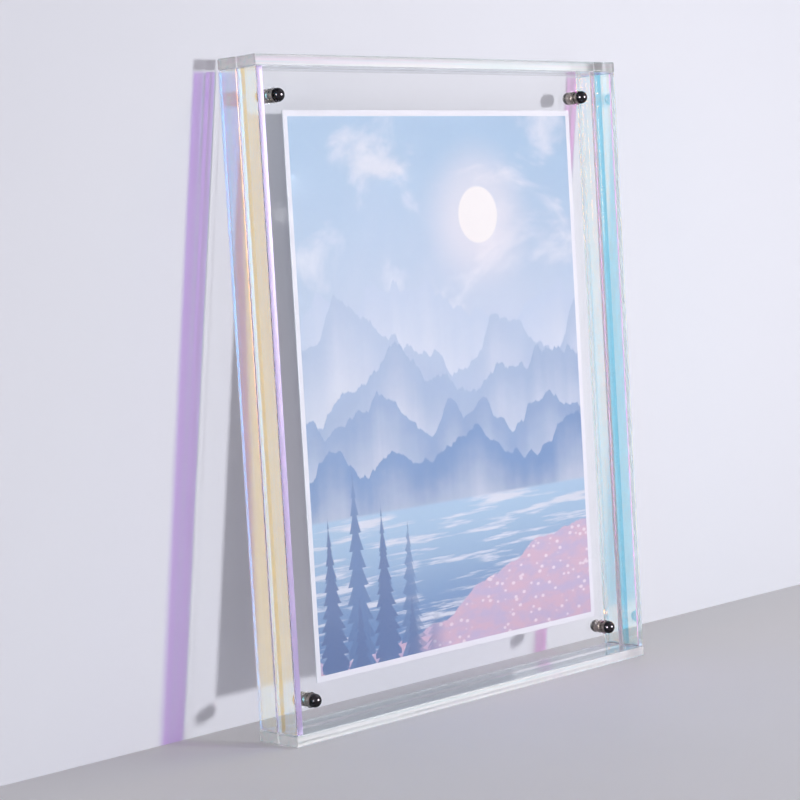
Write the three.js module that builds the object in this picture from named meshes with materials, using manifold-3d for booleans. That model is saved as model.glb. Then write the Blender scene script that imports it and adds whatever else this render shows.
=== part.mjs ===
// Acrylic photo frame: two clear open trays, held face to face by magnets, with a paper print between.
// Millimetres, +Z up. The origin is the middle of the underside, and the front faces -Y.
import * as THREE from "three";
import { mergeVertices } from "three/addons/utils/BufferGeometryUtils.js";
import Module from "manifold-3d";

const wasm = await Module();
wasm.setup();

// The print, and the room it slides in between the two sheets
const printWidth = 152;
const printHeight = 203;
const printThickness = 0.25;
const printClearance = 0.075;

// Clear border from the print's edge to the outside of the frame
const sideMargin = 19;
const endMargin = 18.5;

// One tray: its depth, the acrylic stock that it is cemented from, and the film on its sides
const trayDepth = 9.8;
const railHeight = 4;
const wallThickness = 3;
const sheetThickness = 2;
const filmThickness = 0.2;
const edgeChamfer = 0.3;

// Layer of cement or adhesive between two bonded faces
const bondLayer = 0.05;

// Round-headed magnets set through the sheets beside the print's corners
const magnetDiameter = 5;
const magnetProud = 4.5;
const magnetSideOffset = 4.5;
const magnetEndOffset = 5;
const magnetGlueGap = 0.3;
const magnetEndChamfer = 0.25;
const neckWidth = 0.4;
const neckDepth = 0.2;

// Keepers: disc magnets let into the top of the top rails, near the right end
const keeperDiameter = 4;
const keeperHeight = 2.8;
const keeperRecess = 0.1;
const keeperEndInset = 6.7;
const keeperMeetingInset = 4.2;
const keeperGlueGap = 0.15;

// Facets round a full turn, and steps in a quarter turn
const roundSides = 32;
const quarterSteps = 8;

// Sizes that follow from the ones above
const outerWidth = printWidth + 2 * sideMargin;
const outerHeight = printHeight + 2 * endMargin;
const meetingOffset = printThickness / 2 + printClearance;
const sideWidth = wallThickness + bondLayer + filmThickness;
const sheetWidth = outerWidth - 2 * (sideWidth + bondLayer);
const fillHeight = outerHeight - 2 * (railHeight + bondLayer);
const middleHeight = outerHeight / 2;
const magnetRadius = magnetDiameter / 2;
const magnetLength = sheetThickness + magnetProud;
const magnetX = printWidth / 2 + magnetSideOffset;
const magnetRise = printHeight / 2 + magnetEndOffset;
const topRailZ = outerHeight - railHeight / 2;
const keeperRadius = keeperDiameter / 2;
const keeperX = outerWidth / 2 - keeperEndInset;
const keeperZ = outerHeight - keeperRecess - keeperHeight / 2;

// The two trays and their sides, as signs along Y, X and Z
const trays = { front: -1, back: 1 };
const sides = { left: -1, right: 1 };
const ends = { bottom: -1, top: 1 };

// Finishes
const acrylic = { color: 0xeef2f6, roughness: 0.03, metalness: 0, transparent: true, opacity: 0.3 };
const film = { color: 0xb9d6ee, roughness: 0.08, metalness: 0.4, transparent: true, opacity: 0.6 };
const plating = { color: 0x6f7074, roughness: 0.12, metalness: 1 };
const steel = { color: 0x9c9da0, roughness: 0.35, metalness: 1 };
const paper = { color: 0xe6e4f0, roughness: 0.7, metalness: 0 };

const frame = new THREE.Group();

function add(name, geometry, finish, x, y, z) {
  const mesh = new THREE.Mesh(geometry, new THREE.MeshStandardMaterial(finish));
  mesh.name = name;
  mesh.position.set(x, y, z);
  frame.add(mesh);
  return mesh;
}

// Closed geometry to solid and back, for the bores and pockets
function toSolid(geometry) {
  const bare = geometry.clone();
  bare.deleteAttribute("normal");
  bare.deleteAttribute("uv");
  const merged = mergeVertices(bare);
  return new wasm.Manifold(new wasm.Mesh({
    numProp: 3,
    vertProperties: new Float32Array(merged.attributes.position.array),
    triVerts: new Uint32Array(merged.index.array),
  }));
}

function toGeometry(solid) {
  const mesh = solid.getMesh();
  const geometry = new THREE.BufferGeometry();
  geometry.setAttribute("position", new THREE.BufferAttribute(mesh.vertProperties, 3));
  geometry.setIndex(new THREE.BufferAttribute(mesh.triVerts, 1));
  geometry.computeVertexNormals();
  return geometry;
}

// A bar with every edge chamfered, centred on its own middle. Its ends are the faces along Z.
function chamferedBar(sizeX, sizeY, sizeZ) {
  const halfX = sizeX / 2 - edgeChamfer;
  const halfY = sizeY / 2 - edgeChamfer;
  const corner = edgeChamfer * (Math.SQRT2 - 1);
  const outline = new THREE.Shape([
    new THREE.Vector2(halfX - corner, -halfY),
    new THREE.Vector2(halfX, -halfY + corner),
    new THREE.Vector2(halfX, halfY - corner),
    new THREE.Vector2(halfX - corner, halfY),
    new THREE.Vector2(-halfX + corner, halfY),
    new THREE.Vector2(-halfX, halfY - corner),
    new THREE.Vector2(-halfX, -halfY + corner),
    new THREE.Vector2(-halfX + corner, -halfY),
  ]);
  const depth = sizeZ - 2 * edgeChamfer;
  const bar = new THREE.ExtrudeGeometry(outline, {
    depth,
    bevelSize: edgeChamfer,
    bevelThickness: edgeChamfer,
    bevelSegments: 1,
  });
  return bar.translate(0, 0, -depth / 2);
}

// A rail runs along X: a chamfered bar, turned so that its ends face left and right
function makeRail() {
  return chamferedBar(railHeight, trayDepth, outerWidth).rotateY(Math.PI / 2);
}

// The top rail has a pocket for the keeper, open at the top
function makeTopRail(facing) {
  const radius = keeperRadius + keeperGlueGap;
  const reach = keeperRecess + keeperHeight + keeperGlueGap;
  const pocket = new THREE.CylinderGeometry(radius, radius, 2 * reach, roundSides).rotateX(Math.PI / 2);
  const pocketY = facing * (keeperMeetingInset - trayDepth / 2);
  const bored = toSolid(makeRail()).subtract(toSolid(pocket).translate([keeperX, pocketY, railHeight / 2]));
  return toGeometry(bored);
}

// The sheet fills the tray between rails and walls, and has a bore for each magnet
function makeSheet() {
  const outline = new THREE.Shape([
    new THREE.Vector2(-sheetWidth / 2, -fillHeight / 2),
    new THREE.Vector2(sheetWidth / 2, -fillHeight / 2),
    new THREE.Vector2(sheetWidth / 2, fillHeight / 2),
    new THREE.Vector2(-sheetWidth / 2, fillHeight / 2),
  ]);
  for (const side of Object.values(sides)) {
    for (const end of Object.values(ends)) {
      const bore = new THREE.Path();
      bore.absarc(side * magnetX, end * magnetRise, magnetRadius + magnetGlueGap, 0, 2 * Math.PI, true);
      outline.holes.push(bore);
    }
  }
  const sheet = new THREE.ExtrudeGeometry(outline, {
    depth: sheetThickness,
    bevelEnabled: false,
    curveSegments: roundSides,
  });
  return sheet.translate(0, 0, -sheetThickness / 2).rotateX(Math.PI / 2);
}

// A magnet: flat end at its own origin, neck groove, and a half-round head up its Y axis
function makeMagnet() {
  const shoulder = magnetLength - magnetRadius;
  const profile = [
    new THREE.Vector2(0, 0),
    new THREE.Vector2(magnetRadius - magnetEndChamfer, 0),
    new THREE.Vector2(magnetRadius, magnetEndChamfer),
    new THREE.Vector2(magnetRadius, shoulder - neckWidth),
    new THREE.Vector2(magnetRadius - neckDepth, shoulder - neckWidth / 2),
  ];
  for (let step = 0; step < quarterSteps; step += 1) {
    const angle = (step / quarterSteps) * (Math.PI / 2);
    profile.push(new THREE.Vector2(magnetRadius * Math.cos(angle), shoulder + magnetRadius * Math.sin(angle)));
  }
  profile.push(new THREE.Vector2(0, magnetLength));
  return new THREE.LatheGeometry(profile, roundSides);
}

function makeTray(tray, facing) {
  const stripY = facing * (meetingOffset + trayDepth / 2);
  const sheetY = facing * (meetingOffset + sheetThickness / 2);
  const wallX = outerWidth / 2 - sideWidth + wallThickness / 2;
  const filmX = outerWidth / 2 - filmThickness / 2;

  add(`${tray}_sheet`, makeSheet(), acrylic, 0, sheetY, middleHeight);
  add(`${tray}_top_rail`, makeTopRail(facing), acrylic, 0, stripY, topRailZ);
  add(`${tray}_bottom_rail`, makeRail(), acrylic, 0, stripY, railHeight / 2);

  for (const [sideName, side] of Object.entries(sides)) {
    const wall = chamferedBar(wallThickness, trayDepth, fillHeight);
    const strip = new THREE.BoxGeometry(
      filmThickness, trayDepth - 2 * edgeChamfer, fillHeight - 2 * edgeChamfer);
    add(`${tray}_${sideName}_wall`, wall, acrylic, side * wallX, stripY, middleHeight);
    add(`${tray}_${sideName}_film`, strip, film, side * filmX, stripY, middleHeight);

    for (const [endName, end] of Object.entries(ends)) {
      const magnetZ = middleHeight + end * magnetRise;
      const magnet = add(
        `${tray}_magnet_${endName}_${sideName}`, makeMagnet(), plating,
        side * magnetX, facing * meetingOffset, magnetZ);
      magnet.rotation.x = facing < 0 ? Math.PI : 0;
    }
  }

  const keeper = new THREE.CylinderGeometry(keeperRadius, keeperRadius, keeperHeight, roundSides);
  const keeperY = facing * (meetingOffset + keeperMeetingInset);
  add(`${tray}_keeper`, keeper.rotateX(Math.PI / 2), steel, keeperX, keeperY, keeperZ);
}

for (const [tray, facing] of Object.entries(trays)) {
  makeTray(tray, facing);
}

const print = new THREE.BoxGeometry(printWidth, printThickness, printHeight);
add("photo_print", print, paper, 0, 0, middleHeight);

export default frame;
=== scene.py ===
"""Looks of a clear acrylic photo frame: its finishes, turned metal pieces, paper print and studio stage."""

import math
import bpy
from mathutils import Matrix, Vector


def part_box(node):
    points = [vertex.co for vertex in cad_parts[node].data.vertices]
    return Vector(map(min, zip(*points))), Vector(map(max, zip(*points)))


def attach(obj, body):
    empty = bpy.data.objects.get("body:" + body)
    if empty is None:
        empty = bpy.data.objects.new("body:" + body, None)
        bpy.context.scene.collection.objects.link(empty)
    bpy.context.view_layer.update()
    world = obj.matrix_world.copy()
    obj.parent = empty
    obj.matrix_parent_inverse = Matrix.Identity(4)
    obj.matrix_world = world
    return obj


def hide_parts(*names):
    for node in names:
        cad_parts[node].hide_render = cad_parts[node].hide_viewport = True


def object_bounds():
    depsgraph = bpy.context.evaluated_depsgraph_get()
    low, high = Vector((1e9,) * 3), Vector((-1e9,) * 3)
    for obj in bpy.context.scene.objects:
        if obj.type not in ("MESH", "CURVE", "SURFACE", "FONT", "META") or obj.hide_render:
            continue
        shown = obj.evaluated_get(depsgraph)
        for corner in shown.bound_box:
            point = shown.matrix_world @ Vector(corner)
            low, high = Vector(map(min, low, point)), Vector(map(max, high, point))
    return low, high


bl_info = {
    "name": "Acrylic Photo Frame",
    "version": (1, 0, 0),
    "blender": (4, 5, 0),
    "location": "View3D > Sidebar > Photo Frame",
    "description": "Dresses a clear magnetic photo frame and sets it on a studio stage",
    "category": "Object",
}

import bmesh
import bpy
from bpy.props import FloatProperty, FloatVectorProperty, IntProperty, PointerProperty
from mathutils import Matrix, Quaternion, Vector

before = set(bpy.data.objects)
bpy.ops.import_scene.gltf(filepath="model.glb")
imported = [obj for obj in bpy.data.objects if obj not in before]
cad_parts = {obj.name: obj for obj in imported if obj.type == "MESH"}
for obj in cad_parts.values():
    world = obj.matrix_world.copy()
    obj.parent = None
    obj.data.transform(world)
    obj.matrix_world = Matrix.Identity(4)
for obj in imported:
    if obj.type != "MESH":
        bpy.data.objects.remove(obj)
cad_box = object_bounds()

MM = 0.001
# Which way each tray faces along Y
TRAYS = {"front": -1, "back": 1}
SIDES = ("left", "right")
ENDS = ("top", "bottom")


def srgb(red, green, blue):
    """A colour written as it looks on a screen, from 0 to 255, as the linear values that shaders take."""
    def linear(part):
        share = part / 255
        return share / 12.92 if share <= 0.04045 else ((share + 0.055) / 1.055) ** 2.4

    return (linear(red), linear(green), linear(blue))


def opaque(colour):
    """A colour with the fourth number that node sockets ask for."""
    return (*colour, 1.0)


def colour_property(name, description, red, green, blue):
    """A colour setting whose default is written as it looks on a screen."""
    return FloatVectorProperty(
        name=name,
        description=description,
        subtype="COLOR",
        size=3,
        min=0.0,
        max=1.0,
        default=srgb(red, green, blue),
    )


def length_property(name, description, default):
    """A length setting in metres."""
    return FloatProperty(name=name, description=description, default=default, unit="LENGTH")


def angle_property(name, description, degrees):
    """An angle setting whose default is written in degrees."""
    return FloatProperty(name=name, description=description, default=math.radians(degrees), subtype="ANGLE")


def power_property(name, description, watts):
    """The power setting of a lamp."""
    return FloatProperty(name=name, description=description, default=watts, unit="POWER")


def share_property(name, description, default):
    """A setting that goes from none, at 0, to all, at 1."""
    return FloatProperty(
        name=name,
        description=description,
        default=default,
        min=0.0,
        max=1.0,
        subtype="FACTOR",
    )


class AcrylicSettings(bpy.types.PropertyGroup):
    """Colours and haze of the clear acrylic, and colours of the film on its sides."""

    tint: colour_property("Tint", "Colour of light that has passed through a clear piece", 254, 254, 254)
    # Painted light: the walls' clear ends are given the colour of the film's light that shows through them
    left_end_film_light: colour_property("Left end", "Colour that the film gives a left wall's ends", 230, 212, 250)
    right_end_film_light: colour_property("Right end", "Colour that the film gives a right wall's ends", 240, 250, 248)
    # Painted shade: a rail's upper and lower faces are painted darker and bluer than its front, as if less
    # lit
    rail_face_shade: colour_property("Rail face", "Colour of the upper and lower faces of a rail", 222, 231, 236)
    rail_warm: colour_property("Warm streak", "Warmer polishing streaks along a rail", 253, 244, 253)
    rail_cool: colour_property("Cool streak", "Cooler polishing streaks along a rail", 236, 251, 253)
    edge_shadow: colour_property("Edge shadow", "Colour of the lamplight that leaves by an edge", 60, 30, 48)
    film_square: colour_property("Film, square on", "Colour of light straight through it", 121, 223, 249)
    film_slant: colour_property("Film, at a slant", "Colour of light through it at a slant", 39, 166, 226)
    film_steep: colour_property("Film, steeply", "Colour of light steeply through it", 178, 45, 232)
    film_grazing: colour_property("Film, grazing", "Colour of light that grazes it", 240, 95, 214)
    rail_haze: share_property("Rail haze", "Share of light that the sawn and polished rails scatter", 0.28)
    wall_haze: share_property("Wall haze", "Share of light that the side walls scatter", 0.03)


class MetalSettings(bpy.types.PropertyGroup):
    """Finish of the magnets and keepers."""

    plating: colour_property("Plating", "Polished nickel of the magnets' bodies", 150, 139, 132)
    # Painted reflection: the heads are a darker copy of the bodies' plating, standing in for the dark room
    # they mirror
    head: colour_property("Heads", "Dark colour painted on the magnets' round heads", 52, 49, 52)
    keeper: colour_property("Keeper", "Satin nickel of the keepers", 60, 60, 62)
    sides: IntProperty(name="Sides", description="Facets round a turned piece", default=64, min=16, max=128)
    head_steps: IntProperty(name="Head steps", description="Rings in a magnet's head", default=14, min=4)
    end_chamfer: length_property("End chamfer", "Chamfer on the flat ends", 0.22 * MM)
    neck_width: length_property("Neck width", "Width of the groove below a magnet's head", 0.4 * MM)
    neck_depth: length_property("Neck depth", "Depth of the groove below a magnet's head", 0.2 * MM)


class PrintSettings(bpy.types.PropertyGroup):
    """Border and palette of the paper print."""

    border: length_property("Border", "White border round the picture", 3.0 * MM)
    paper: colour_property("Paper", "Bare photo paper", 225, 223, 234)
    paper_shade: colour_property("Paper shade", "Faint second tone of the bare paper", 221, 220, 232)
    sky_high: colour_property("High sky", "Top of the sky", 142, 171, 203)
    sky_low: colour_property("Low sky", "Sky above the ridges", 176, 187, 211)
    cloud: colour_property("Cloud", "Clouds and mist", 204, 207, 222)
    sun: colour_property("Sun", "Disc of the sun", 232, 226, 228)
    sun_glow: colour_property("Sun glow", "Glow round the sun", 232, 220, 226)
    ridge_far: colour_property("Far ridge", "Palest mountain ridge", 170, 184, 211)
    ridge_near: colour_property("Near ridge", "Darkest mountain ridge", 70, 112, 166)
    water: colour_property("Water", "Lake surface", 150, 180, 211)
    pine: colour_property("Pines", "Trees in front", 44, 82, 138)
    meadow: colour_property("Meadow", "Flowering shore", 200, 164, 188)
    turf: colour_property("Turf", "Bluer patches of the shore", 178, 162, 198)
    blossom: colour_property("Blossom", "Petals on the shore", 230, 216, 226)


class StageSettings(bpy.types.PropertyGroup):
    """Floor, backdrop, lamps and camera."""

    floor: colour_property("Floor", "Pale floor", 234, 233, 240)
    floor_pale: colour_property("Paler floor", "Paler patches of the floor", 240, 238, 245)
    backdrop: colour_property("Backdrop", "Pale wall behind the frame", 226, 227, 236)
    backdrop_gap: length_property("Backdrop gap", "Distance at the floor from frame to backdrop", 26.8 * MM)
    backdrop_lean: angle_property("Backdrop lean", "Lean of the backdrop, below its bend", 6.28)
    reach: length_property("Reach", "How far the floor and backdrop run from the frame", 3.0)
    air: colour_property("Air", "Colour of the light from all round", 253, 250, 250)
    ambient: FloatProperty(
        name="Ambient",
        description="Strength of the light from all round",
        default=0.31,
        min=0.0,
    )
    key_power: power_property("Key power", "Power of the main lamp", 2.5)
    key_size: length_property("Key size", "Width of the main lamp", 0.1)
    key_spread: angle_property("Key spread", "Angle of the main lamp's beam", 80.0)
    card_power: power_property("Card power", "Power of the cards that polished metal mirrors", 80.0)
    fill_power: power_property("Fill power", "Power of the side lamp", 3.85)
    top_power: power_property("Top power", "Power of the lamp overhead", 4.4)
    lens: FloatProperty(
        name="Lens",
        description="Focal length of the camera in millimetres",
        default=99.8,
        unit="CAMERA",
    )


# Places of a mix node's colour sockets, which follow those for its other kinds of data
MIX_SHARE = 0
MIX_FIRST = 6
MIX_SECOND = 7
MIX_RESULT = 2


class Sketch:
    """Adds and wires the nodes of one shader tree."""

    def __init__(self, tree):
        self.tree = tree

    def node(self, kind, inputs=None, **settings):
        """A new node with its settings made and its inputs fed."""
        made = self.tree.nodes.new(kind)
        for name, value in settings.items():
            setattr(made, name, value)
        for socket, value in (inputs or {}).items():
            self.feed(made.inputs[socket], value)
        return made

    def feed(self, socket, value):
        """Links a socket to another socket, or sets it to a plain value."""
        if isinstance(value, bpy.types.NodeSocket):
            self.tree.links.new(value, socket)
        else:
            socket.default_value = value

    def math(self, operation, *values):
        return self.node("ShaderNodeMath", dict(enumerate(values)), operation=operation).outputs[0]

    def mix(self, share, first, second, blend="MIX"):
        inputs = {MIX_SHARE: share, MIX_FIRST: first, MIX_SECOND: second}
        made = self.node("ShaderNodeMix", inputs, data_type="RGBA", blend_type=blend, clamp_factor=True)
        return made.outputs[MIX_RESULT]

    def step(self, value, low, high):
        """Rises smoothly from 0 at low to 1 at high."""
        inputs = {"Value": value, "From Min": low, "From Max": high}
        return self.node("ShaderNodeMapRange", inputs, interpolation_type="SMOOTHSTEP", clamp=True).outputs[0]

    def fall(self, value, low, high):
        """Falls smoothly from 1 at low to 0 at high."""
        return self.math("SUBTRACT", 1.0, self.step(value, low, high))

    def noise(self, vector, scale, detail=4.0, roughness=0.5, distortion=0.0):
        inputs = {
            "Vector": vector,
            "Scale": scale,
            "Detail": detail,
            "Roughness": roughness,
            "Distortion": distortion,
        }
        return self.node("ShaderNodeTexNoise", inputs, noise_dimensions="3D").outputs[0]

    def scaled(self, vector, scale):
        return self.node("ShaderNodeVectorMath", {0: vector, 1: scale}, operation="MULTIPLY").outputs[0]

    def place(self, kind="Object"):
        """Where a point lies in the piece's own coordinates, or its normal or its place in the picture."""
        return self.node("ShaderNodeTexCoord").outputs[kind]

    def parts(self, kind="Object"):
        """The X, Y and Z of what place gives."""
        return self.node("ShaderNodeSeparateXYZ", {0: self.place(kind)}).outputs

    def group(self, tree, **values):
        """A shader group with its named inputs fed."""
        made = self.node("ShaderNodeGroup", node_tree=tree)
        for name, value in values.items():
            self.feed(made.inputs[name.replace("_", " ").capitalize()], value)
        return made

    def finish(self, shader):
        target = self.node("ShaderNodeOutputMaterial")
        self.tree.links.new(shader, target.inputs["Surface"])


def new_material(name):
    """An empty material and the sketch that fills it."""
    material = bpy.data.materials.new(name)
    material.use_nodes = True
    material.node_tree.nodes.clear()
    return material, Sketch(material.node_tree)


def new_group(name, inputs, outputs):
    """An empty shader group with named number sockets: its tree, sketch, input and output nodes."""
    tree = bpy.data.node_groups.new(name, "ShaderNodeTree")
    for socket, default in inputs.items():
        kind = "NodeSocketVector" if isinstance(default, tuple) else "NodeSocketFloat"
        tree.interface.new_socket(socket, in_out="INPUT", socket_type=kind).default_value = default
    for socket in outputs:
        tree.interface.new_socket(socket, in_out="OUTPUT", socket_type="NodeSocketFloat")
    sketch = Sketch(tree)
    return tree, sketch, sketch.node("NodeGroupInput").outputs, sketch.node("NodeGroupOutput").inputs


# Soft edges here and below are pairs: the value where an edge starts and the value where it ends
SMUDGE_EDGE = (0.48, 0.72)


def handling_marks():
    """Roughness that is low where the surface is clean and higher in soft smudges."""
    name = "Handling marks"
    if name in bpy.data.node_groups:
        return bpy.data.node_groups[name]
    tree, sketch, given, out = new_group(name, {"Scale": 30.0, "Clean": 0.02, "Marked": 0.08}, ["Roughness"])
    cloud = sketch.noise(sketch.place(), given["Scale"], detail=5.0, roughness=0.6, distortion=0.6)
    mark = sketch.step(cloud, *SMUDGE_EDGE)
    spread = sketch.math("SUBTRACT", given["Marked"], given["Clean"])
    sketch.feed(out["Roughness"], sketch.math("MULTIPLY_ADD", mark, spread, given["Clean"]))
    return tree


def drawn_lines():
    """Fine lines drawn out along a strip: how high each line stands, from 0 to 1."""
    name = "Drawn lines"
    if name in bpy.data.node_groups:
        return bpy.data.node_groups[name]
    tree, sketch, given, out = new_group(name, {"Stretch": (1.0, 1.0, 1.0), "Scale": 100.0}, ["Height"])
    along = sketch.scaled(sketch.place(), given["Stretch"])
    sketch.feed(out["Height"], sketch.noise(along, given["Scale"], detail=3.0, roughness=0.6))
    return tree


CLEAR = (1.0, 1.0, 1.0, 1.0)


def clear_pass(sketch, colour=CLEAR):
    """Lets light straight through, tinted by a colour or by what a socket gives."""
    return sketch.node("ShaderNodeBsdfTransparent", {"Color": colour}).outputs[0]


def either(sketch, share, first, second):
    """The second shader where share is 1, and the first where it is 0."""
    return sketch.node("ShaderNodeMixShader", {0: share, 1: first, 2: second}).outputs[0]


def through_soft_light(sketch, shader):
    """Lets soft light through a clear piece."""
    soft = sketch.node("ShaderNodeLightPath").outputs["Is Diffuse Ray"]
    return either(sketch, soft, shader, clear_pass(sketch))


def through_shadow(sketch, shader, shadow_colour):
    """Lets lamps and soft light through a clear piece, lamps tinted by shadow_colour."""
    shadow = sketch.node("ShaderNodeLightPath").outputs["Is Shadow Ray"]
    return either(sketch, shadow, through_soft_light(sketch, shader), clear_pass(sketch, shadow_colour))


# How squarely a face looks along an axis, or between two, to take the colour that is given for it
FACE_EDGE = (0.5, 0.9)
CHAMFER_EDGE = (0.2, 0.4)


def facing(sketch, axis):
    """Is 1 on the faces that look along an axis, either way, and 0 on the others."""
    normal = sketch.parts("Normal")[axis]
    return sketch.step(sketch.math("ABSOLUTE", normal), *FACE_EDGE)


def facing_tint(sketch, axis, colour, facing_colour):
    """Takes the second colour on the faces that look along an axis."""
    return sketch.mix(facing(sketch, axis), opaque(colour), opaque(facing_colour))


def chamfer_tint(sketch, colour, chamfer_colour):
    """Takes the second colour on the chamfers between the faces that look along X and Y."""
    parts = sketch.parts("Normal")
    slant = sketch.math("ABSOLUTE", sketch.math("MULTIPLY", parts["X"], parts["Y"]))
    return sketch.mix(sketch.step(slant, *CHAMFER_EDGE), opaque(colour), opaque(chamfer_colour))


def within(sketch, low, high):
    """Is 1 inside a box that is given in the piece's own coordinates, and 0 outside."""
    parts = sketch.parts()
    inside = 1.0
    for part, least, most in zip(parts, low, high):
        near = sketch.math("COMPARE", part, (least + most) / 2, (most - least) / 2)
        inside = sketch.math("MULTIPLY", inside, near)
    return inside


# Stretches that draw a pattern out along a strip
ALONG_X = (0.01, 1.0, 1.0)
ALONG_Z = (1.0, 1.0, 0.01)

WARM_EDGE = (0.5, 0.6)
COOL_EDGE = (0.52, 0.62)


def streak_tint(sketch, colour, warm, cool, stretch):
    """Takes a warmer or cooler colour in fine streaks along the length of a strip."""
    first = sketch.group(drawn_lines(), stretch=stretch, scale=520.0).outputs["Height"]
    second = sketch.group(drawn_lines(), stretch=stretch, scale=760.0).outputs["Height"]
    tone = sketch.mix(sketch.step(first, *WARM_EDGE), opaque(colour), opaque(warm))
    return sketch.mix(sketch.step(second, *COOL_EDGE), tone, opaque(cool))


ACRYLIC_IOR = 1.49


def acrylic_material(name, tint, haze=0.0, stretch=None):
    """Polished clear acrylic with smudges, and polishing lines along the length of a strip.

    Gives the material, its sketch, its surface and the roughness of the smudges.
    """
    material, sketch = new_material(name)
    marks = sketch.group(handling_marks(), scale=26.0, clean=0.0, marked=0.03).outputs["Roughness"]
    surface = sketch.node("ShaderNodeBsdfPrincipled", {
        "Base Color": opaque(tint),
        "Roughness": marks,
        "IOR": ACRYLIC_IOR,
        "Transmission Weight": 1.0 - haze,
    })
    if stretch:
        lines = sketch.group(drawn_lines(), stretch=stretch, scale=900.0)
        bump = sketch.node("ShaderNodeBump", {
            "Height": lines.outputs["Height"],
            "Strength": 0.05,
            "Distance": 0.05 * MM,
        })
        sketch.feed(surface.inputs["Normal"], bump.outputs[0])
    return material, sketch, surface, marks


# Roughness of the sheets' left edges and of the left and right walls' ends
SAWN_EDGE = 0.45
SAWN_END = 0.3
POLISHED_END = 0.0
# The normal's part along X on a face that looks left is under this
LEFT_FACING = -0.5
# How far a bore reaches past its magnet, with a little to spare
BORE_ROOM = 0.35 * MM


def leave_sawn(sketch, surface, marks, where, roughness):
    """Leaves a clear piece matt from the saw where a mask is 1, and polished elsewhere but for its marks."""
    sawn = sketch.math("MULTIPLY", where, roughness)
    sketch.feed(surface.inputs["Roughness"], sketch.math("MAXIMUM", marks, sawn))


def magnet_bores(sketch):
    """Is 1 in the glued bores of a sheet, which the glue makes clear, and 0 elsewhere."""
    to_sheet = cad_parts["front_sheet"].matrix_world.inverted()
    parts = sketch.parts()
    inside = 0.0
    for end in ENDS:
        for side in SIDES:
            low, high = (to_sheet @ Vector(corner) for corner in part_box(f"front_magnet_{end}_{side}"))
            reach = (high.x - low.x) / 2 + BORE_ROOM
            aside = sketch.math("SUBTRACT", parts["X"], (low.x + high.x) / 2)
            above = sketch.math("SUBTRACT", parts["Z"], (low.z + high.z) / 2)
            square = sketch.math("MULTIPLY_ADD", aside, aside, sketch.math("MULTIPLY", above, above))
            inside = sketch.math("MAXIMUM", inside, sketch.math("LESS_THAN", square, reach * reach))
    return inside


def sheet_material(settings):
    """Clear acrylic of the flat sheets, whose left edge is sawn matt and whose bores are glued clear."""
    material, sketch, surface, marks = acrylic_material("acrylic sheet", settings.tint)
    across = sketch.parts("Normal")["X"]
    leave_sawn(sketch, surface, marks, sketch.math("LESS_THAN", across, LEFT_FACING), SAWN_EDGE)
    solid = through_shadow(sketch, surface.outputs[0], opaque(settings.tint))
    sketch.finish(either(sketch, magnet_bores(sketch), solid, clear_pass(sketch)))
    return material


# Room that counts as a keeper's pocket, round it and above it
GLUE_ROOM = 0.2 * MM
POCKET_MOUTH = 0.05 * MM


def keeper_pocket():
    """Corners of the space round both keepers, in a top rail's own coordinates, up to the pocket's mouth."""
    corners = []
    for tray in TRAYS:
        to_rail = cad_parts[f"{tray}_top_rail"].matrix_world.inverted()
        corners += [to_rail @ Vector(corner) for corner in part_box(f"{tray}_keeper")]
    low = [min(corner[axis] for corner in corners) - GLUE_ROOM for axis in range(3)]
    high = [max(corner[axis] for corner in corners) + GLUE_ROOM for axis in range(3)]
    high[2] += POCKET_MOUTH - GLUE_ROOM
    return low, high


def rail_material(settings):
    """Acrylic of the rails: streaked along its length, its upper and lower faces painted in shade, ends that
    keep lamplight in, and glued pockets.
    """
    material, sketch, surface, _ = acrylic_material(
        "acrylic rail", settings.tint, settings.rail_haze, ALONG_X)
    streaks = streak_tint(sketch, settings.tint, settings.rail_warm, settings.rail_cool, ALONG_X)
    # Painted shade on the upper and lower faces
    faces = facing_tint(sketch, "Z", settings.tint, settings.rail_face_shade)
    sketch.feed(surface.inputs["Base Color"], sketch.mix(1.0, streaks, faces, blend="MULTIPLY"))
    shadow = facing_tint(sketch, "X", settings.tint, settings.edge_shadow)
    solid = through_shadow(sketch, surface.outputs[0], shadow)
    sketch.finish(either(sketch, within(sketch, *keeper_pocket()), solid, clear_pass(sketch)))
    return material


def wall_material(name, settings, end_film_light, end_roughness):
    """Acrylic of a side wall, whose ends are painted with the film's coloured light as it shows through them,
    and whose chamfers keep lamplight in.
    """
    material, sketch, surface, marks = acrylic_material(name, settings.tint, settings.wall_haze, ALONG_Z)
    # Painted light: the ends take the film's coloured light as their own base colour
    sketch.feed(surface.inputs["Base Color"], facing_tint(sketch, "Y", settings.tint, end_film_light))
    leave_sawn(sketch, surface, marks, facing(sketch, "Y"), end_roughness)
    shadow = chamfer_tint(sketch, settings.tint, settings.edge_shadow)
    sketch.finish(through_shadow(sketch, surface.outputs[0], shadow))
    return material


# How aslant light meets the film where each of its four colours is full: 0 is square on, 1 is level with it
FILM_TURNS = (0.235, 0.35, 0.56, 0.67)
FILM_BLEND = 0.5
# What the film passes and mirrors together, a little over all the light for a yellow sheen
FILM_SHEEN = (1.04, 1.08, 1.0, 1.0)
FILM_STREAK_EDGE = (0.45, 0.75)
FILM_STREAK_SHARE = 0.2


def film_ramp(sketch, settings):
    """Colour of light through the film, which shifts from cyan to pink as the light meets it more aslant."""
    aslant = sketch.node("ShaderNodeLayerWeight", {"Blend": FILM_BLEND}).outputs["Facing"]
    ramp = sketch.node("ShaderNodeValToRGB", {"Fac": aslant})
    stops = (settings.film_square, settings.film_slant, settings.film_steep, settings.film_grazing)
    for place in FILM_TURNS[2:]:
        ramp.color_ramp.elements.new(place)
    for element, place, colour in zip(ramp.color_ramp.elements, FILM_TURNS, stops):
        element.position = place
        element.color = opaque(colour)
    return ramp.outputs[0]


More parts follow.
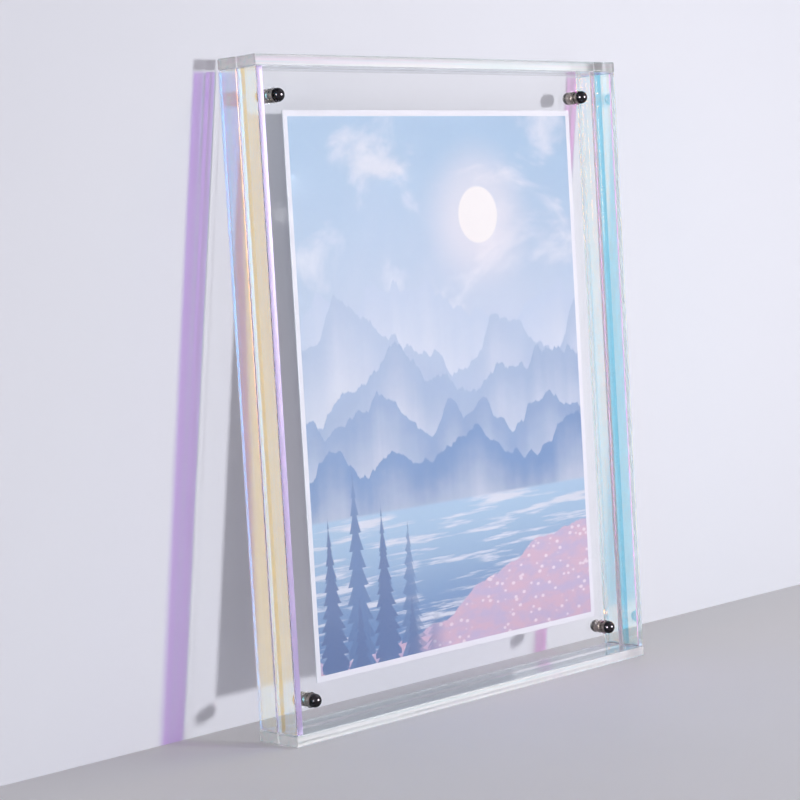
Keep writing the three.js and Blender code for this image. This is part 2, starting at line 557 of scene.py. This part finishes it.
def film_material(settings):
    """Film that passes one colour and mirrors the rest where a ray goes in, and is clear on its way out."""
    material, sketch = new_material("colour-shifting film")
    streaks = sketch.group(drawn_lines(), stretch=ALONG_Z, scale=420.0)
    marks = sketch.group(handling_marks(), scale=40.0, clean=0.02, marked=0.07)
    passes = film_ramp(sketch, settings)
    mirrors = sketch.mix(1.0, FILM_SHEEN, passes, blend="SUBTRACT")
    pale = sketch.step(streaks.outputs["Height"], *FILM_STREAK_EDGE)
    pale = sketch.math("MULTIPLY", pale, FILM_STREAK_SHARE)
    mirror = sketch.node("ShaderNodeBsdfPrincipled", {
        "Base Color": sketch.mix(pale, mirrors, CLEAR),
        "Metallic": 1.0,
        "Roughness": marks.outputs["Roughness"],
    })
    both = {0: mirror.outputs[0], 1: clear_pass(sketch, passes)}
    coating = sketch.node("ShaderNodeAddShader", both).outputs[0]
    leaving = sketch.node("ShaderNodeNewGeometry").outputs["Backfacing"]
    lit = through_soft_light(sketch, coating)
    sketch.finish(either(sketch, leaving, lit, clear_pass(sketch)))
    return material


def metal_material(name, colour, clean, marked, stretch, line_strength):
    """Plated metal with handling marks and fine turning or grinding lines."""
    material, sketch = new_material(name)
    marks = sketch.group(handling_marks(), scale=400.0, clean=clean, marked=marked)
    lines = sketch.group(drawn_lines(), stretch=stretch, scale=3000.0)
    bump = sketch.node("ShaderNodeBump", {
        "Height": lines.outputs["Height"],
        "Strength": line_strength,
        "Distance": 0.02 * MM,
    })
    surface = sketch.node("ShaderNodeBsdfPrincipled", {
        "Base Color": opaque(colour),
        "Metallic": 1.0,
        "Roughness": marks.outputs["Roughness"],
        "Normal": bump.outputs[0],
    })
    sketch.finish(surface.outputs[0])
    return material


def paper_grain(sketch):
    """A faint bump of paper fibres."""
    fibres = sketch.noise(sketch.place(), scale=4000.0, detail=3.0)
    return sketch.node("ShaderNodeBump", {
        "Height": fibres,
        "Strength": 0.08,
        "Distance": 0.03 * MM,
    }).outputs[0]


PAPER_EDGE = (0.3, 0.7)


def paper_material(settings):
    """Bare resin-coated photo paper."""
    material, sketch = new_material("photo paper")
    cloud = sketch.noise(sketch.place(), scale=60.0, detail=4.0)
    shade = sketch.step(cloud, *PAPER_EDGE)
    tone = sketch.mix(shade, opaque(settings.paper), opaque(settings.paper_shade))
    surface = sketch.node("ShaderNodeBsdfPrincipled", {
        "Base Color": tone,
        "Roughness": 0.5,
        "Normal": paper_grain(sketch),
    })
    sketch.finish(surface.outputs[0])
    return material


# Lengths in the picture are shares of its height, and places are shares of its width and height
PICTURE_ASPECT = 0.743
# What a noise pattern swings about
NOISE_MIDDLE = 0.5


def ridge_line():
    """Mask of the ground below a jagged ridge that crosses the picture."""
    name = "Ridge line"
    if name in bpy.data.node_groups:
        return bpy.data.node_groups[name]
    inputs = {
        "Across": 0.0, "Up": 0.0, "Height": 0.5, "Relief": 0.2, "Peaks": 4.0, "Seed": 0.0, "Softness": 0.004,
    }
    tree, sketch, given, out = new_group(name, inputs, ["Mask", "Depth"])
    along = sketch.math("MULTIPLY_ADD", given["Across"], given["Peaks"], given["Seed"])
    jagged = {"W": along, "Scale": 1.0, "Detail": 7.0, "Roughness": 0.52}
    rise = sketch.node("ShaderNodeTexNoise", jagged, noise_dimensions="1D")
    centred = sketch.math("SUBTRACT", rise.outputs[0], NOISE_MIDDLE)
    top = sketch.math("MULTIPLY_ADD", centred, given["Relief"], given["Height"])
    depth = sketch.math("SUBTRACT", top, given["Up"])
    sketch.feed(out["Depth"], depth)
    sketch.feed(out["Mask"], sketch.step(depth, 0.0, given["Softness"]))
    return tree


# A pine: where its trunk is between its neighbours, its least height as a share of the tallest one's,
# its tiers, its slope, and how far its branches reach in and out
PINE_MIDDLE = 0.5
SHORTEST_PINE = 0.4
PINE_TIERS = 11.0
PINE_SLOPE = 0.62
BRANCH_IN = 0.6
BRANCH_OUT = 0.45
PINE_EDGE = (0.0, 0.05)


def pine_row():
    """Mask of a row of pines, each with its own height and with tiers of branches."""
    name = "Pine row"
    if name in bpy.data.node_groups:
        return bpy.data.node_groups[name]
    inputs = {"Across": 0.0, "Up": 0.0, "Trees": 10.0, "Ground": 0.2, "Tallest": 0.3, "Seed": 0.0}
    tree, sketch, given, out = new_group(name, inputs, ["Mask"])
    along = sketch.math("MULTIPLY_ADD", given["Across"], given["Trees"], given["Seed"])
    spread = sketch.math("ABSOLUTE", sketch.math("SUBTRACT", sketch.math("FRACT", along), PINE_MIDDLE))
    chance = sketch.node("ShaderNodeTexWhiteNoise", {"W": sketch.math("FLOOR", along)}, noise_dimensions="1D")
    growth = sketch.math("MULTIPLY_ADD", chance.outputs["Value"], 1.0 - SHORTEST_PINE, SHORTEST_PINE)
    tip = sketch.math("MULTIPLY_ADD", growth, given["Tallest"], given["Ground"])
    below = sketch.math("DIVIDE", sketch.math("SUBTRACT", tip, given["Up"]), given["Tallest"])
    tiers = sketch.math("FRACT", sketch.math("MULTIPLY", below, PINE_TIERS))
    branch = sketch.math("MULTIPLY_ADD", tiers, BRANCH_OUT, BRANCH_IN)
    reach = sketch.math("MULTIPLY", sketch.math("MULTIPLY", below, PINE_SLOPE), branch)
    sketch.feed(out["Mask"], sketch.step(sketch.math("SUBTRACT", reach, spread), *PINE_EDGE))
    return tree


WASH_SHARE = 0.5
SKY_EDGE = (0.5, 1.0)
CLOUD_STRETCH = (1.6, 2.6, 1.0)
CLOUD_EDGE = (0.5, 0.66)
SUN_ACROSS = 0.64
SUN_UP = 0.815
SUN_EDGE = (0.052, 0.057)
GLOW_EDGE = (0.05, 0.17)
GLOW_SHARE = 0.5


def paint_sky(sketch, settings, across, up, flat):
    """Washed sky with soft clouds and a pale sun."""
    wash = sketch.noise(flat, scale=2.2, detail=5.0, roughness=0.55, distortion=0.4)
    level = sketch.math("MULTIPLY_ADD", sketch.math("SUBTRACT", wash, NOISE_MIDDLE), WASH_SHARE, up)
    sky = sketch.mix(sketch.step(level, *SKY_EDGE), opaque(settings.sky_low), opaque(settings.sky_high))
    drawn = sketch.scaled(flat, CLOUD_STRETCH)
    puffs = sketch.noise(drawn, scale=2.4, detail=9.0, roughness=0.55, distortion=0.5)
    sky = sketch.mix(sketch.step(puffs, *CLOUD_EDGE), sky, opaque(settings.cloud))
    aside = sketch.math("MULTIPLY", sketch.math("SUBTRACT", across, SUN_ACROSS), PICTURE_ASPECT)
    above = sketch.math("SUBTRACT", up, SUN_UP)
    squares = sketch.math("ADD", sketch.math("MULTIPLY", aside, aside), sketch.math("MULTIPLY", above, above))
    radius = sketch.math("SQRT", squares)
    glow = sketch.math("MULTIPLY", sketch.fall(radius, *GLOW_EDGE), GLOW_SHARE)
    sky = sketch.mix(glow, sky, opaque(settings.sun_glow))
    return sketch.mix(sketch.fall(radius, *SUN_EDGE), sky, opaque(settings.sun))


# Mountain ridges: how many, the farthest one's height, relief and peaks, and how these change to the nearest
RIDGES = 5
RIDGE_HEIGHT = 0.66
HEIGHT_LOSS = 0.29
RIDGE_RELIEF = 0.42
RELIEF_LOSS = 0.2
RIDGE_PEAKS = 2.6
PEAKS_GAIN = 2.0
RIDGE_SEED = 3.7
SEED_STRIDE = 11.3
MIST_EDGE = (0.05, 0.26)
MIST_MOTTLE = 0.12
MIST_SHARE = 0.85


def paint_ridges(sketch, settings, across, up, flat, picture):
    """Mountain ridges, darker as they come nearer, each fading into mist at its foot."""
    mottle = sketch.noise(flat, scale=7.0, detail=6.0, roughness=0.6)
    for layer in range(RIDGES):
        near = layer / (RIDGES - 1)
        ridge = sketch.group(
            ridge_line(),
            across=across,
            up=up,
            height=RIDGE_HEIGHT - HEIGHT_LOSS * near,
            relief=RIDGE_RELIEF - RELIEF_LOSS * near,
            peaks=RIDGE_PEAKS + PEAKS_GAIN * near,
            seed=RIDGE_SEED + SEED_STRIDE * layer,
        )
        rock = sketch.mix(near, opaque(settings.ridge_far), opaque(settings.ridge_near))
        foot = sketch.math("ADD", ridge.outputs["Depth"], sketch.math("MULTIPLY", mottle, MIST_MOTTLE))
        mist = sketch.math("MULTIPLY", sketch.step(foot, *MIST_EDGE), MIST_SHARE)
        slope = sketch.mix(mist, rock, opaque(settings.cloud))
        picture = sketch.mix(ridge.outputs["Mask"], picture, slope)
    return picture


RIPPLE_STRETCH = (3.0, 34.0, 1.0)
RIPPLE_EDGE = (0.5, 0.62)
DEEP_EDGE = (0.02, 0.28)
WATER_LINE = (0.268, 0.276)


def paint_lake(sketch, settings, up, flat, picture):
    """Lake below the ridges, with level streaks of light."""
    ripple = sketch.noise(sketch.scaled(flat, RIPPLE_STRETCH), scale=1.6, detail=7.0, roughness=0.6)
    deep = sketch.mix(sketch.step(up, *DEEP_EDGE), opaque(settings.ridge_near), opaque(settings.water))
    lake = sketch.mix(sketch.step(ripple, *RIPPLE_EDGE), deep, opaque(settings.cloud))
    return sketch.mix(sketch.fall(up, *WATER_LINE), picture, lake)


BANK_EDGE = (0.2, 1.0)
BANK_RISE = 0.17
BANK_FOOT = 0.02
PETAL_STRETCH = (1.0, 1.5, 1.0)
PETAL_SCALE = 46.0
PETAL_EDGE = (0.16, 0.3)
PETAL_SHARE = 0.75
TURF_STRETCH = (1.0, 2.5, 1.0)
TURF_EDGE = (0.35, 0.65)
# Pines: where they get shorter and end, their least height, and each row's seed, tallest tree and tone
PINES_EDGE = (0.26, 0.46)
SAPLING = 0.02
PINE_ROWS = ((5.0, 0.34, 0.55), (17.0, 0.24, 1.0))


def paint_shore(sketch, settings, across, up, flat, picture):
    """Flowering shore at the lower right and tall pines at the left."""
    rise = sketch.math("MULTIPLY_ADD", sketch.step(across, *BANK_EDGE), BANK_RISE, BANK_FOOT)
    bank = sketch.group(ridge_line(), across=across, up=up, height=rise, relief=0.06, peaks=6.0, seed=81.0)
    scattered = {"Vector": sketch.scaled(flat, PETAL_STRETCH), "Scale": PETAL_SCALE}
    blossom = sketch.node("ShaderNodeTexVoronoi", scattered, feature="F1")
    petals = sketch.fall(blossom.outputs["Distance"], *PETAL_EDGE)
    turf = sketch.noise(sketch.scaled(flat, TURF_STRETCH), scale=16.0, detail=6.0, roughness=0.65)
    field = sketch.mix(sketch.step(turf, *TURF_EDGE), opaque(settings.turf), opaque(settings.meadow))
    field = sketch.mix(sketch.math("MULTIPLY", petals, PETAL_SHARE), field, opaque(settings.blossom))
    picture = sketch.mix(bank.outputs["Mask"], picture, field)
    left = sketch.fall(across, *PINES_EDGE)
    for seed, tallest, depth in PINE_ROWS:
        height = sketch.math("MULTIPLY_ADD", left, tallest, SAPLING)
        row = sketch.group(
            pine_row(), across=across, up=up, trees=11.0, ground=0.03, tallest=height, seed=seed)
        wood = sketch.mix(depth, opaque(settings.ridge_near), opaque(settings.pine))
        picture = sketch.mix(sketch.math("MULTIPLY", row.outputs["Mask"], left), picture, wood)
    return picture


# Colour that the grain of the paper gives the ink where it is deepest
INK_GRAIN = (0.9, 0.91, 0.93, 1.0)


def picture_material(settings):
    """The printed picture: a lake below misty mountains, in washes of blue, lavender and pink."""
    material, sketch = new_material("landscape print")
    flat = sketch.scaled(sketch.place("UV"), (PICTURE_ASPECT, 1.0, 1.0))
    across, up, _ = sketch.parts("UV")
    picture = paint_sky(sketch, settings, across, up, flat)
    picture = paint_ridges(sketch, settings, across, up, flat, picture)
    picture = paint_lake(sketch, settings, up, flat, picture)
    picture = paint_shore(sketch, settings, across, up, flat, picture)
    tooth = sketch.noise(flat, scale=150.0, detail=4.0, roughness=0.7)
    tone = sketch.mix(tooth, INK_GRAIN, CLEAR)
    surface = sketch.node("ShaderNodeBsdfPrincipled", {
        "Base Color": sketch.mix(1.0, picture, tone, blend="MULTIPLY"),
        "Roughness": 0.42,
        "Normal": paper_grain(sketch),
    })
    sketch.finish(surface.outputs[0])
    return material


def dress(node, material):
    """Gives a node of the solid model one material."""
    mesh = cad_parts[node].data
    mesh.materials.clear()
    mesh.materials.append(material)


def add_piece(name, mesh, body, node):
    """Puts a finished mesh in the scene in place of a node of the solid model."""
    piece = bpy.data.objects.new(name, mesh)
    bpy.context.scene.collection.objects.link(piece)
    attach(piece, body)
    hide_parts(node)
    return piece


SHARP_ANGLE = math.radians(30)


def turned_mesh(name, profile, sides, materials, head_from=math.inf):
    """A closed solid turned about Z, from (radius, height) points whose first and last are on the axis.

    What lies above head_from takes the second material.
    """
    shape = bmesh.new()
    turns = [2 * math.pi * side / sides for side in range(sides)]
    rings = []
    for radius, height in profile:
        spots = [(radius * math.cos(turn), radius * math.sin(turn), height) for turn in turns]
        rings.append([shape.verts.new(spot) for spot in (spots if radius else spots[:1])])
    for lower, upper in zip(rings, rings[1:]):
        for side in range(sides):
            after = (side + 1) % sides
            if len(lower) == 1:
                shape.faces.new((lower[0], upper[after], upper[side]))
            elif len(upper) == 1:
                shape.faces.new((lower[side], lower[after], upper[0]))
            else:
                shape.faces.new((lower[side], lower[after], upper[after], upper[side]))
    bmesh.ops.recalc_face_normals(shape, faces=shape.faces)
    for face in shape.faces:
        face.material_index = int(face.calc_center_median().z > head_from)
    mesh = bpy.data.meshes.new(name)
    shape.to_mesh(mesh)
    shape.free()
    mesh.shade_smooth()
    mesh.set_sharp_from_angle(angle=SHARP_ANGLE)
    for material in materials:
        mesh.materials.append(material)
    return mesh


def magnet_profile(settings, radius, length):
    """Outline of a round-headed magnet: chamfered flat end, body, neck groove and half-round head."""
    shoulder = length - radius
    chamfer = settings.end_chamfer
    outline = [
        (0, 0),
        (radius - chamfer, 0),
        (radius, chamfer),
        (radius, shoulder - settings.neck_width),
        (radius - settings.neck_depth, shoulder - settings.neck_width / 2),
    ]
    for step in range(settings.head_steps):
        angle = math.pi / 2 * step / settings.head_steps
        outline.append((radius * math.cos(angle), shoulder + radius * math.sin(angle)))
    outline.append((0, length))
    return outline


def keeper_profile(settings, radius, length):
    """Outline of a keeper: a disc magnet with both ends chamfered."""
    chamfer = settings.end_chamfer
    return [
        (0, 0),
        (radius - chamfer, 0),
        (radius, chamfer),
        (radius, length - chamfer),
        (radius - chamfer, length),
        (0, length),
    ]


def add_magnet(node, tray, outward, settings, materials):
    """Turns a magnet on its node's own box, with its flat end towards the other tray."""
    low, high = (Vector(corner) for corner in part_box(node))
    radius = (high.x - low.x) / 2
    length = high.y - low.y
    outline = magnet_profile(settings, radius, length)
    neck = length - radius - settings.neck_width
    mesh = turned_mesh(f"{node}_turned", outline, settings.sides, materials, head_from=neck)
    flat_end = low.y if outward > 0 else high.y
    middle = (low + high) / 2
    turn = Matrix.Rotation(-outward * math.pi / 2, 4, "X")
    mesh.transform(Matrix.Translation((middle.x, flat_end, middle.z)) @ turn)
    magnet = add_piece(f"{node}_turned", mesh, f"{tray}_tray", node)
    polished_metal().objects.link(magnet)


def add_keeper(node, tray, settings, material):
    """Turns a keeper upright on its node's own box."""
    low, high = (Vector(corner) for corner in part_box(node))
    outline = keeper_profile(settings, (high.x - low.x) / 2, high.z - low.z)
    mesh = turned_mesh(f"{node}_turned", outline, settings.sides, [material])
    middle = (low + high) / 2
    mesh.transform(Matrix.Translation((middle.x, middle.y, low.z)))
    add_piece(f"{node}_turned", mesh, f"{tray}_tray", node)


# The normal's part along Y on a face that looks to the front is under this
FRONT_FACING = -0.9


def print_mesh(border):
    """The sheet of paper on its node's own box, with its picture inside the border of the front face."""
    low, high = (Vector(corner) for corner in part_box("photo_print"))
    size = high - low
    shape = bmesh.new()
    bmesh.ops.create_cube(shape, size=1.0)
    place = Matrix.Translation((low + high) / 2) @ Matrix.Diagonal((*size, 1.0))
    bmesh.ops.transform(shape, matrix=place, verts=shape.verts)
    front = min(shape.faces, key=lambda face: face.calc_center_median().y)
    bmesh.ops.inset_individual(shape, faces=[front], thickness=border)
    forward = [face for face in shape.faces if face.normal.y < FRONT_FACING]
    picture = max(forward, key=lambda face: face.calc_area())
    picture.material_index = 1
    pattern = shape.loops.layers.uv.new("picture")
    wide = size.x - 2 * border
    tall = size.z - 2 * border
    for loop in picture.loops:
        spot = loop.vert.co - low
        loop[pattern].uv = ((spot.x - border) / wide, (spot.z - border) / tall)
    mesh = bpy.data.meshes.new("paper_print")
    shape.to_mesh(mesh)
    shape.free()
    return mesh


class FRAME_OT_acrylic(bpy.types.Operator):
    """Polish the sheets, rails and walls of both trays"""

    bl_idname = "photo_frame.acrylic"
    bl_label = "Acrylic trays"

    def execute(self, context):
        settings = context.scene.frame_acrylic
        pane = sheet_material(settings)
        rail = rail_material(settings)
        walls = {
            "left": wall_material("acrylic left wall", settings, settings.left_end_film_light, SAWN_END),
            "right": wall_material("acrylic right wall", settings, settings.right_end_film_light, POLISHED_END),
        }
        for tray in TRAYS:
            dress(f"{tray}_sheet", pane)
            for end in ENDS:
                dress(f"{tray}_{end}_rail", rail)
            for side in SIDES:
                dress(f"{tray}_{side}_wall", walls[side])
        return {"FINISHED"}


class FRAME_OT_film(bpy.types.Operator):
    """Coat the side walls with colour-shifting film"""

    bl_idname = "photo_frame.film"
    bl_label = "Side film"

    def execute(self, context):
        film = film_material(context.scene.frame_acrylic)
        for tray in TRAYS:
            for side in SIDES:
                dress(f"{tray}_{side}_film", film)
        return {"FINISHED"}


class FRAME_OT_magnets(bpy.types.Operator):
    """Turn the round-headed magnets at the corners"""

    bl_idname = "photo_frame.magnets"
    bl_label = "Corner magnets"

    def execute(self, context):
        settings = context.scene.frame_metal
        body = metal_material(
            "nickel plating", settings.plating,
            clean=0.26, marked=0.4, stretch=(1.0, 6.0, 1.0), line_strength=0.12)
        # The heads take a darker copy of the plating, a painted dark reflection
        head = metal_material(
            "head plating painted dark", settings.head,
            clean=0.08, marked=0.14, stretch=(1.0, 1.0, 1.0), line_strength=0.01)
        for tray, outward in TRAYS.items():
            for end in ENDS:
                for side in SIDES:
                    add_magnet(f"{tray}_magnet_{end}_{side}", tray, outward, settings, [body, head])
        return {"FINISHED"}


class FRAME_OT_keepers(bpy.types.Operator):
    """Turn the keeper magnets in the top rails"""

    bl_idname = "photo_frame.keepers"
    bl_label = "Rail keepers"

    def execute(self, context):
        settings = context.scene.frame_metal
        satin = metal_material(
            "satin nickel plating", settings.keeper,
            clean=0.45, marked=0.6, stretch=(1.0, 1.0, 0.05), line_strength=0.2)
        for tray in TRAYS:
            add_keeper(f"{tray}_keeper", tray, settings, satin)
        return {"FINISHED"}


class FRAME_OT_print(bpy.types.Operator):
    """Lay the paper print between the sheets"""

    bl_idname = "photo_frame.print"
    bl_label = "Photo print"

    def execute(self, context):
        settings = context.scene.frame_print
        mesh = print_mesh(settings.border)
        mesh.materials.append(paper_material(settings))
        mesh.materials.append(picture_material(settings))
        add_piece("paper_print", mesh, "print", "photo_print")
        return {"FINISHED"}


def stage_sheet(name, reach, rows, material):
    """A stage surface that runs from -reach to reach along X, through rows given as (y, z)."""
    corners = [(side * reach, y, z) for y, z in rows for side in (-1, 1)]
    strips = [(2 * row, 2 * row + 1, 2 * row + 3, 2 * row + 2) for row in range(len(rows) - 1)]
    mesh = bpy.data.meshes.new(name)
    mesh.from_pydata(corners, [], strips)
    mesh.shade_smooth()
    mesh.materials.append(material)
    sheet = bpy.data.objects.new(name, mesh)
    bpy.context.scene.collection.objects.link(sheet)
    return sheet


# How far from the frame the floor starts and ends to fade: as glossy pieces mirror it, and as it is seen
MIRRORED_FADE = (0.1, 0.35)
FLOOR_FADE = (0.27, 0.42)


def floor_material(settings):
    """Plain pale floor with a faint mottle, which fades into the backdrop's colour away from the frame."""
    material, sketch = new_material("pale floor")
    cloud = sketch.noise(sketch.place(), scale=9.0, detail=6.0)
    tone = sketch.mix(cloud, opaque(settings.floor), opaque(settings.floor_pale))
    surface = sketch.node("ShaderNodeBsdfPrincipled", {"Base Color": tone, "Roughness": 0.55})
    distance = sketch.node("ShaderNodeVectorMath", {0: sketch.place()}, operation="LENGTH").outputs["Value"]
    path = sketch.node("ShaderNodeLightPath").outputs
    mirrored = sketch.math("MULTIPLY", path["Is Glossy Ray"], sketch.step(distance, *MIRRORED_FADE))
    seen = sketch.math("MAXIMUM", path["Is Camera Ray"], path["Is Transmission Ray"])
    seen = sketch.math("MULTIPLY", seen, sketch.step(distance, *FLOOR_FADE))
    fade = sketch.math("MAXIMUM", mirrored, seen)
    pale = sketch.node("ShaderNodeEmission", {"Color": opaque(settings.backdrop), "Strength": 1.0})
    sketch.finish(either(sketch, fade, surface.outputs[0], pale.outputs[0]))
    return material


def backdrop_material(settings):
    """Pale matt wall that is seen from its front alone."""
    material, sketch = new_material("pale backdrop")
    surface = sketch.node("ShaderNodeBsdfDiffuse", {"Color": opaque(settings.backdrop)})
    behind = sketch.node("ShaderNodeNewGeometry").outputs["Backfacing"]
    sketch.finish(either(sketch, behind, surface.outputs[0], clear_pass(sketch)))
    return material


def studio_world(settings):
    """Even pale light from all round."""
    world = bpy.data.worlds.new("studio")
    world.use_nodes = True
    world.node_tree.nodes.clear()
    sketch = Sketch(world.node_tree)
    path = sketch.node("ShaderNodeLightPath").outputs
    seen = sketch.math("MAXIMUM", path["Is Camera Ray"], path["Is Glossy Ray"])
    seen = sketch.math("MAXIMUM", seen, path["Is Transmission Ray"])
    light = sketch.node("ShaderNodeBackground", {"Color": opaque(settings.air), "Strength": settings.ambient})
    view = sketch.node("ShaderNodeBackground", {"Color": opaque(settings.backdrop), "Strength": 1.0})
    target = sketch.node("ShaderNodeOutputWorld")
    sketch.feed(target.inputs["Surface"], either(sketch, seen, light.outputs[0], view.outputs[0]))
    bpy.context.scene.world = world


def add_lamp(name, place, aim, size, power, spread=math.pi):
    """A square soft lamp that points at aim."""
    lamp = bpy.data.lights.new(name, "AREA")
    lamp.size = size
    lamp.energy = power
    lamp.spread = spread
    holder = bpy.data.objects.new(name, lamp)
    holder.location = place
    holder.rotation_mode = "QUATERNION"
    holder.rotation_quaternion = (Vector(aim) - Vector(place)).to_track_quat("-Z", "Y")
    bpy.context.scene.collection.objects.link(holder)
    return holder


def polished_metal():
    """The collection of polished metal pieces, which alone mirror the cards."""
    name = "polished metal"
    return bpy.data.collections.get(name) or bpy.data.collections.new(name)


# The camera, from a fit to the frame's corners in the photograph
CAMERA_PLACE = Vector((-0.59663, -0.58347, 0.17206))
CAMERA_AIM = Vector((-0.0144, 0.0115, 0.1141))
CAMERA_ROLL = math.radians(-3.32)
SENSOR_WIDTH = 36.0

# The lamps, and the cards of light that stand by two of them for the metal to mirror
FRAME_MIDDLE = (0.0, 0.0, 0.12)
KEY_PLACE = (0.584, -1.376, 0.25)
KEY_AIM = (0.06, 0.0, 0.12)
FILL_PLACE = (-1.5, -0.42, 0.36)
FILL_SIZE = 0.4
TOP_PLACE = (0.9, -0.45, 1.4)
TOP_SIZE = 0.8
CARDS = {"key card": KEY_PLACE, "side card": (-1.4, -0.42, 0.2)}
CARD_SIZE = 0.65

# The floor lies just under the frame, and the backdrop bends upright between two heights above it
FLOOR_GAP = 0.1 * MM
BEND_FROM = 0.285
BEND_TO = 0.315

# How many clear faces, and how many bounces in the acrylic, a ray of light may take
CLEAR_LAYERS = 32
GLASS_BOUNCES = 24


def add_surfaces(settings):
    """The floor, and the backdrop, which leans towards the frame and is upright above it."""
    reach = settings.reach
    ground = cad_box[0].z - FLOOR_GAP
    stage_sheet("floor", reach, [(-reach, ground), (reach, ground)], floor_material(settings))
    slope = math.tan(settings.backdrop_lean)
    back = cad_box[1].y + settings.backdrop_gap
    bend = back - (BEND_FROM - ground) * slope
    upright = bend - (BEND_TO - BEND_FROM) * slope / 2
    rows = [(back, ground), (bend, BEND_FROM), (upright, BEND_TO), (upright, reach)]
    backdrop = stage_sheet("backdrop", reach, rows, backdrop_material(settings))
    backdrop.visible_shadow = False
    backdrop.visible_diffuse = False


def add_lamps(settings):
    """The main, side and overhead lamps, and the cards for the polished metal."""
    add_lamp("key", KEY_PLACE, KEY_AIM, settings.key_size, settings.key_power, settings.key_spread)
    add_lamp("fill", FILL_PLACE, FRAME_MIDDLE, FILL_SIZE, settings.fill_power)
    add_lamp("top", TOP_PLACE, FRAME_MIDDLE, TOP_SIZE, settings.top_power)
    for name, place in CARDS.items():
        card = add_lamp(name, place, FRAME_MIDDLE, CARD_SIZE, settings.card_power)
        card.light_linking.receiver_collection = polished_metal()


def add_camera(settings):
    """The camera at the photograph's viewing angle."""
    data = bpy.data.cameras.new("camera")
    data.lens = settings.lens
    data.sensor_width = SENSOR_WIDTH
    camera = bpy.data.objects.new("camera", data)
    camera.location = CAMERA_PLACE
    camera.rotation_mode = "QUATERNION"
    aim = (CAMERA_AIM - CAMERA_PLACE).to_track_quat("-Z", "Y")
    camera.rotation_quaternion = aim @ Quaternion((0, 0, 1), CAMERA_ROLL)
    bpy.context.scene.collection.objects.link(camera)
    bpy.context.scene.camera = camera


class FRAME_OT_stage(bpy.types.Operator):
    """Set up the floor, the backdrop, the lamps and the camera"""

    bl_idname = "photo_frame.stage"
    bl_label = "Studio stage"

    def execute(self, context):
        settings = context.scene.frame_stage
        add_surfaces(settings)
        studio_world(settings)
        add_lamps(settings)
        add_camera(settings)
        context.scene.view_settings.view_transform = "Standard"
        cycles = context.scene.cycles
        cycles.transparent_max_bounces = CLEAR_LAYERS
        cycles.max_bounces = GLASS_BOUNCES
        cycles.transmission_bounces = GLASS_BOUNCES
        cycles.glossy_bounces = GLASS_BOUNCES
        return {"FINISHED"}


STEPS = (FRAME_OT_stage, FRAME_OT_acrylic, FRAME_OT_film, FRAME_OT_magnets, FRAME_OT_keepers, FRAME_OT_print)


class FRAME_PT_panel(bpy.types.Panel):
    """Lists the steps that dress the frame"""

    bl_idname = "FRAME_PT_panel"
    bl_label = "Photo Frame"
    bl_space_type = "VIEW_3D"
    bl_region_type = "UI"
    bl_category = "Photo Frame"

    def draw(self, context):
        for step in STEPS:
            self.layout.operator(step.bl_idname)


SETTINGS = {
    "frame_acrylic": AcrylicSettings,
    "frame_metal": MetalSettings,
    "frame_print": PrintSettings,
    "frame_stage": StageSettings,
}
CLASSES = (*SETTINGS.values(), *STEPS, FRAME_PT_panel)


def register():
    for made in CLASSES:
        bpy.utils.register_class(made)
    for name, group in SETTINGS.items():
        setattr(bpy.types.Scene, name, PointerProperty(type=group))


def unregister():
    for name in SETTINGS:
        delattr(bpy.types.Scene, name)
    for made in reversed(CLASSES):
        bpy.utils.unregister_class(made)


def main():
    register()
    bpy.ops.photo_frame.stage()
    bpy.ops.photo_frame.acrylic()
    bpy.ops.photo_frame.film()
    bpy.ops.photo_frame.magnets()
    bpy.ops.photo_frame.keepers()
    bpy.ops.photo_frame.print()


if __name__ == "__main__":
    main()
